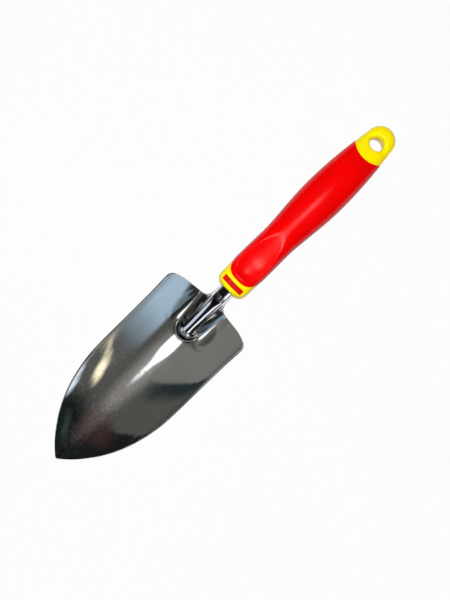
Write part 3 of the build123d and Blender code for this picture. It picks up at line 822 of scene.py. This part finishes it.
BAND_START = -77.0

OLIVE = (0.086, 0.088, 0.076)
# Patches from back to front: kind, numbers, colour.
# oval: u, v, reach u, reach v, turn in degrees, softness; far: the same in panel mm.
# half: half planes that are multiplied, each u, v, direction in degrees, soft width.
# bent: near edge from, to; far edge from, to (past the band's edge); v from, to.
LAYOUT = [
    ("bent", (-2, 2, 800, 900, 8, 13), (0.184, 0.180, 0.168)),      # pale wall past the band
    ("bent", (-30, -8, -2, 2, 8, 26), (0.018, 0.027, 0.029)),       # the dark band
    ("oval", (-70, -30, 60, 16, 0, 0.9), (0.100, 0.100, 0.098)),
    ("half", [(-76, -20, 0, 74), (-20, -19, -90, 5), (-20, -19, -102, 5)],
     (0.40, 0.54, 0.65)),                                           # sky
    ("oval", (-50, -56, 62, 17, 0, 0.9), (0.27, 0.31, 0.33)),
    ("oval", (16, -22, 34, 9, -8, 0.9), (0.040, 0.042, 0.040)),     # dark corner by the heel
    ("oval", (-80, -50, 22, 12, 0, 0.7), (0.31, 0.29, 0.23)),
    ("half", [(-120, -8, 193, 34)], (0.008, 0.011, 0.012)),         # darkness past the tip
    ("oval", (-158, -28, 36, 11, -36, 0.8), (0.009, 0.014, 0.015)),
    ("half", [(-138, 17, 141, 3), (-150, 13, 90, 10)], (0.010, 0.011, 0.012)),  # straight edge
    ("oval", (-138, 0, 44, 15, 0, 0.9), (0.088, 0.058, 0.058)),
    ("oval", (-150, 16, 22, 16, 30, 0.95), (0.046, 0.021, 0.023)),
    ("oval", (-166, -15, 22, 6, -40, 0.9), (0.032, 0.048, 0.045)),
    ("oval", (-58, -1, 96, 17, 0, 0.85), (0.30, 0.295, 0.285)),     # glow round the lamp
    ("oval", (-97, -1, 40, 9, 0, 0.9), (0.225, 0.21, 0.205)),
    ("oval", (-60, -1.0, 34, 4.0, 0, 0.80), (1.35, 1.34, 1.30)),    # lamp
    ("oval", (-34, -0.5, 31, 6.9, 0, 0.25), (1.50, 1.49, 1.46)),
    ("oval", (-15, 0, 11, 30, 0, 0.5), (0.085, 0.08, 0.08)),        # its shade
    ("oval", (8, 0, 17, 12, 0, 0.45), (1.50, 1.46, 1.36)),
    ("oval", (-100, -31.5, 26, 5.2, -16, 0.75), (1.30, 1.14, 0.80)),    # warm streak
    ("oval", (-80, -42, 22, 5.8, -43, 0.85), (0.62, 0.57, 0.42)),
    ("oval", (-127, -42, 21, 6.5, -14, 0.6), (0.80, 0.90, 0.98)),   # small window
    ("half", [(26, 0, 0, 5), (27, -20, 90, 8)], (0.036, 0.031, 0.043)),  # dark, over the handle
    ("half", [(120, 0, 0, 60)], (0.42, 0.43, 0.45)),                # pale wall beyond it
    ("half", [(42, 0, 0, 6), (45, -26, -90, 4)], (1.15, 1.10, 1.22)),    # window over the neck
    ("half", [(36, 0, 0, 6), (45, 47, 90, 3)], (0.50, 0.50, 0.54)),
    ("far", (-1700, 0, 1000, 1200, 0, 0.35), (0.26, 0.27, 0.29)),   # far end wall
    ("far", (-480, -420, 300, 290, 0, 0.25), (1.05, 1.05, 1.18)),
    ("far", (-560, 350, 340, 330, 0, 0.25), (0.62, 0.68, 0.80)),
]


def half_plane(tree, u, v, u0, v0, degrees, soft):
    angle = math.radians(degrees)
    distance = tree.add(tree.product(tree.minus(u, u0), math.cos(angle)),
                        tree.product(tree.minus(v, v0), math.sin(angle)))
    return tree.ramp(distance, over=(0.0, soft))


def turned_oval(tree, u, v, u0, v0, reach_u, reach_v, degrees, soft):
    cosine, sine = math.cos(math.radians(degrees)), math.sin(math.radians(degrees))
    du, dv = tree.minus(u, u0), tree.minus(v, v0)
    along = tree.add(tree.product(du, cosine), tree.product(dv, sine))
    across = tree.minus(tree.product(dv, cosine), tree.product(du, sine))
    distance = tree.radius(tree.divide(along, reach_u), tree.divide(across, reach_v))
    return tree.ramp(distance, over=(1.0, 1.0 - soft))


def soft_panel():
    tree = material_tree("soft_panel")
    coords = tree.coords()
    warp = tree.vector("SUBTRACT", tree.noise(coords, scale=16.0, output="Color"),
                       (0.5, 0.5, 0.5))
    warp = tree.node("VectorMath", {0: warp, "Scale": 0.012}, operation="SCALE")[0]
    place = tree.xyz(tree.vector("ADD", coords, warp))
    x = tree.product(place["X"], 1000.0)
    y = tree.product(place["Y"], 1000.0)

    v = tree.product(tree.math("ARCTANGENT", tree.divide(y, PANEL_ARC_REACH)), PANEL_ARC_SCALE)
    abs_v = tree.math("ABSOLUTE", v)
    past = tree.math("MAXIMUM", tree.minus(abs_v, PANEL_SQUEEZE_FROM), 0.0)
    past = tree.divide(past, PANEL_SQUEEZE_WIDTH)
    squeeze = tree.add(tree.product(past, past, PANEL_SQUEEZE), 1.0)
    bow = tree.divide(abs_v, PANEL_BOW_WIDTH)
    u = tree.add(x, tree.add(tree.product(bow, bow, PANEL_BOW), PANEL_U_MIDDLE))
    u = tree.add(tree.divide(u, squeeze), PANEL_U_OFFSET)
    below = tree.math("MINIMUM", tree.add(u, PANEL_STRETCH_FROM), 0.0)
    u = tree.add(u, tree.product(below, PANEL_STRETCH))
    band = tree.add(tree.product(v, v, BAND_CURVE),
                    tree.add(tree.product(v, BAND_SLANT), BAND_START))
    past_band = tree.minus(u, band)

    colour = tree.mix(OLIVE, toward=(0, 0, 0), amount=0.0)
    for kind, numbers, patch_colour in LAYOUT:
        if kind == "oval":
            cover = turned_oval(tree, u, v, *numbers)
        elif kind == "far":
            cover = turned_oval(tree, x, y, *numbers)
        elif kind == "bent":
            near_from, near_to, far_from, far_to, v_from, v_to = numbers
            cover = tree.product(tree.ramp(past_band, over=(near_from, near_to)),
                                 tree.ramp(past_band, over=(far_to, far_from)),
                                 tree.ramp(v, over=(v_from, v_to)))
        else:
            cover = 1.0
            for plane in numbers:
                cover = tree.product(half_plane(tree, u, v, *plane), cover)
        colour = tree.mix(colour, toward=patch_colour, amount=cover)
    horizon = tree.product(tree.ramp(abs_v, over=(49.8, 51.2)), tree.ramp(x, over=(0.0, 40.0)))
    colour = tree.mix(colour, toward=(0.012, 0.012, 0.014), amount=horizon)
    # steel seen again in steel is a little duller
    strength = tree.ramp(tree.node("LightPath")["Glossy Depth"], over=(1.4, 1.6), to=(1.0, 0.90))
    return tree.output(tree.emission(colour, strength))


# ------------------------------------------------------------------ stage (metres)
PANEL_Z = 0.18
LAMP_Z = 0.1795             # just under the panel
LAMP_SOFTNESS = 0.80        # share of a lamp's radius that fades
LAMP_FALLOFF = 1.0          # power on that fade


def receivers(name, objects):
    collection = bpy.data.collections.new(name)
    for ob in objects:
        collection.objects.link(ob)
    return collection


def glossy_only(ob):
    """Leaves the object visible to mirror rays alone."""
    ob.visible_camera = False
    ob.visible_diffuse = False
    ob.visible_transmission = False
    ob.visible_volume_scatter = False
    ob.visible_shadow = False


def lamp_glow(name, strength):
    tree = material_tree(name)
    centred = tree.vector("SUBTRACT", tree.node("TexCoord")["Generated"], (0.5, 0.5, 0.0))
    distance = tree.length(tree.mapped(centred, scale=(2, 2, 0)))
    glow = tree.math("POWER", tree.ramp(distance, over=(1.0, 1.0 - LAMP_SOFTNESS)),
                     LAMP_FALLOFF)
    return tree.output(tree.emission(WHITE, tree.product(glow, strength)))


def lamp(name, centre, half_size, strength):
    """A small soft lamp that only the handle's plastics mirror."""
    ob = rectangle(name, half_size, LAMP_Z, lamp_glow(name + "_glow", strength), centre)
    glossy_only(ob)
    ob.light_linking.receiver_collection = plastics


floor = rectangle("floor", half_size=(3.0, 3.0), z=-0.0002, material=pale_floor())

panel = rectangle("light_panel", half_size=(6.0, 6.0), z=PANEL_Z, material=soft_panel())
glossy_only(panel)
nodes = frame["nodes"]
panel.light_linking.receiver_collection = receivers("metals", [blade, nodes["tang_pin"]])
plastics = receivers("plastics", [grip, nodes["handle_core"], nodes["collar_label"]])
lamp("dish_lamp", centre=(0.070, 0.013), half_size=(0.018, 0.038), strength=17.0)
lamp("back_lamp", centre=(0.128, 0.002), half_size=(0.056, 0.015), strength=12.0)


def build_world():
    """White and brightest to the camera, nearly dark in mirrors."""
    tree = ShaderTree(bpy.data.worlds.new("studio"))
    rays = tree.node("LightPath")
    colour = tree.mix(WHITE, toward=(0.06, 0.065, 0.075), amount=rays["Is Glossy Ray"])
    strength = tree.add(tree.product(rays["Is Camera Ray"], 0.80), 0.20)
    background = tree.node("Background", {"Color": colour, "Strength": strength})[0]
    bpy.context.scene.world = tree.output(background, "OutputWorld")


def build_key_light():
    light = bpy.data.lights.new("key", "AREA")
    light.shape = "RECTANGLE"
    light.size = light.size_y = 0.35
    light.energy = 10.5
    ob = bpy.data.objects.new("key", light)
    bpy.context.scene.collection.objects.link(ob)
    ob.location = (-0.06, 0.10, 1.00)
    aim = Vector((0.05, 0, 0)) - Vector((-0.06, 0.10, 1.00))
    ob.rotation_euler = aim.to_track_quat("-Z", "Y").to_euler()
    ob.visible_glossy = False


def build_camera():
    """Looks straight down, turned about z."""
    lens = bpy.data.cameras.new("camera")
    lens.lens = 48.0
    lens.sensor_width = 36.0
    lens.clip_start = 0.01
    ob = bpy.data.objects.new("camera", lens)
    bpy.context.scene.collection.objects.link(ob)
    ob.location = (-X_SHIFT / 1000.0, -0.0039, 0.605)
    ob.rotation_euler = (0, 0, math.radians(-44.33))
    bpy.context.scene.camera = ob


build_world()
build_key_light()
build_camera()
bpy.context.scene.view_settings.view_transform = "Standard"
bpy.context.scene.view_settings.look = "None"
